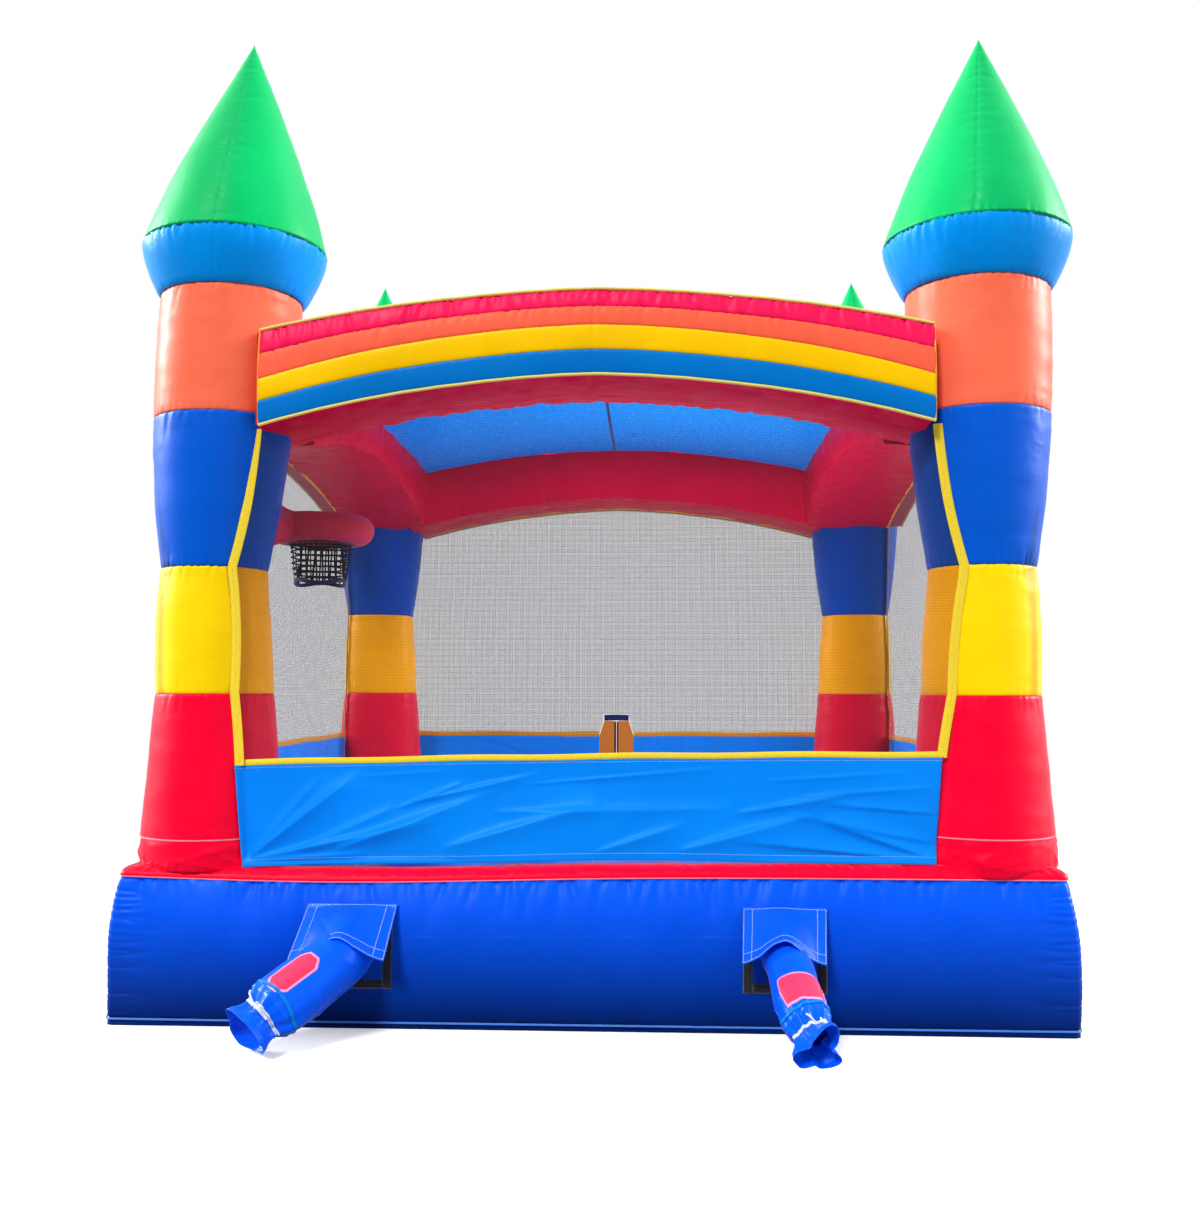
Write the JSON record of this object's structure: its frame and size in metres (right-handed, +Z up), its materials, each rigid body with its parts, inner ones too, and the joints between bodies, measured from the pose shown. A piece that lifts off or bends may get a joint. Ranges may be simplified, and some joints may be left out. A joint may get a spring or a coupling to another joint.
{
  "type": "inflatable bounce house",
  "caption": "Square air-filled bounce house with corner columns, pointed spires, striped arch beams, netted sides, a zipped entrance, a ball hoop and tied blower sleeves.",
  "frame": {"origin": "centre of the base's underside, on the ground", "axes": "+Z up; -Y faces out of the side with the blower sleeves, +Y out of the entrance side; +X to the right of someone who looks at the blower side"},
  "size_m": [4.29, 4.5806, 4.23],
  "materials": {
    "vinyl_base_blue": "satin",
    "vinyl_red": "satin",
    "vinyl_yellow": "satin",
    "vinyl_blue": "satin",
    "vinyl_orange": "satin",
    "vinyl_green": "satin",
    "vinyl_band_blue": "satin",
    "vinyl_roof_blue": "satin",
    "vinyl_azure": "satin",
    "vinyl_floor_blue": "satin",
    "vinyl_inner_white": "satin",
    "vinyl_stripe_pink": "satin",
    "vinyl_stripe_coral": "satin",
    "vinyl_stripe_gold": "satin",
    "vinyl_stripe_blue": "satin",
    "net_grey": "matte",
    "net_black": "matte",
    "hook_loop_black": "matte",
    "webbing_navy": "matte",
    "cord_white": "matte",
    "zip_metal": "satin",
    "eyelet_brass": "satin"
  },
  "bodies": {
    "root": {"base_chamber": "vinyl_base_blue", "base_ledge": "vinyl_red", "jump_floor": "vinyl_floor_blue", "floor_baffles": "vinyl_inner_white", "spire_bands": "vinyl_band_blue", "roof_sheet": "vinyl_roof_blue", "front_sheet": "vinyl_azure", "left_wall": "vinyl_azure", "right_wall": "vinyl_azure", "back_wall": "vinyl_azure", "entrance_header": "webbing_navy", "hoop_ring": "vinyl_red", "hoop_net": "net_black", "port_frames": "hook_loop_black", "anchor_tabs": "webbing_navy", "anchor_eyelets": "eyelet_brass", "arch_stripes_pink": "vinyl_stripe_pink", "arch_stripes_coral": "vinyl_stripe_coral", "arch_stripes_gold": "vinyl_stripe_gold", "arch_stripes_blue": "vinyl_stripe_blue", "front_arch_beam": "vinyl_red", "front_net": "net_grey", "right_arch_beam": "vinyl_red", "right_net": "net_grey", "back_arch_beam": "vinyl_red", "back_net": "net_grey", "left_arch_beam": "vinyl_red", "left_net": "net_grey", "front_left_column_red": "vinyl_red", "front_left_column_yellow": "vinyl_yellow", "front_left_column_blue": "vinyl_blue", "front_left_column_orange": "vinyl_orange", "front_left_spire_cone": "vinyl_green", "front_right_column_red": "vinyl_red", "front_right_column_yellow": "vinyl_yellow", "front_right_column_blue": "vinyl_blue", "front_right_column_orange": "vinyl_orange", "front_right_spire_cone": "vinyl_green", "back_left_column_red": "vinyl_red", "back_left_column_yellow": "vinyl_yellow", "back_left_column_blue": "vinyl_blue", "back_left_column_orange": "vinyl_orange", "back_left_spire_cone": "vinyl_green", "back_right_column_red": "vinyl_red", "back_right_column_yellow": "vinyl_yellow", "back_right_column_blue": "vinyl_blue", "back_right_column_orange": "vinyl_orange", "back_right_spire_cone": "vinyl_green"},
    "port_flap_left": {"port_flap_left": "vinyl_base_blue"},
    "port_flap_right": {"port_flap_right": "vinyl_base_blue"},
    "blower_sleeve_left": {"blower_sleeve_left": "vinyl_base_blue", "tie_cord_left": "cord_white"},
    "blower_sleeve_right": {"blower_sleeve_right": "vinyl_base_blue", "tie_cord_right": "cord_white"},
    "entrance_leaf_left": {"entrance_leaf_left": "vinyl_azure", "entrance_closure_left": "vinyl_orange"},
    "entrance_leaf_right": {"entrance_leaf_right": "vinyl_azure", "entrance_closure_right": "vinyl_orange"},
    "zip_slider": {"zip_slider": "zip_metal"}
  },
  "joints": [
    {"name": "flap_left_lift", "type": "hinge", "parent": "root", "child": "port_flap_left", "pos_m": [-0.95, -1.958, 0.5], "axis": [-1, 0, 0], "range_deg": [0, 100]},
    {"name": "sleeve_left_swing", "type": "hinge", "parent": "root", "child": "blower_sleeve_left", "pos_m": [-0.95, -2.087, 0.302], "axis": [0, 0, 1], "range_deg": [-15, 110]},
    {"name": "flap_right_lift", "type": "hinge", "parent": "root", "child": "port_flap_right", "pos_m": [0.778, -1.958, 0.5], "axis": [-1, 0, 0], "range_deg": [0, 100]},
    {"name": "sleeve_right_swing", "type": "hinge", "parent": "root", "child": "blower_sleeve_right", "pos_m": [0.778, -2.087, 0.302], "axis": [0, 0, 1], "range_deg": [-70, 50]},
    {"name": "entrance_left_open", "type": "hinge", "parent": "root", "child": "entrance_leaf_left", "pos_m": [-0.45, 1.85, 0.83], "axis": [0, 0, 1], "range_deg": [0, 100]},
    {"name": "entrance_right_open", "type": "hinge", "parent": "root", "child": "entrance_leaf_right", "pos_m": [0.45, 1.85, 0.83], "axis": [0, 0, -1], "range_deg": [0, 100]},
    {"name": "zip_slide", "type": "slide", "parent": "entrance_leaf_left", "child": "zip_slider", "axis": [0, 0, 1], "range_m": [0, 0.45]}
  ]
}
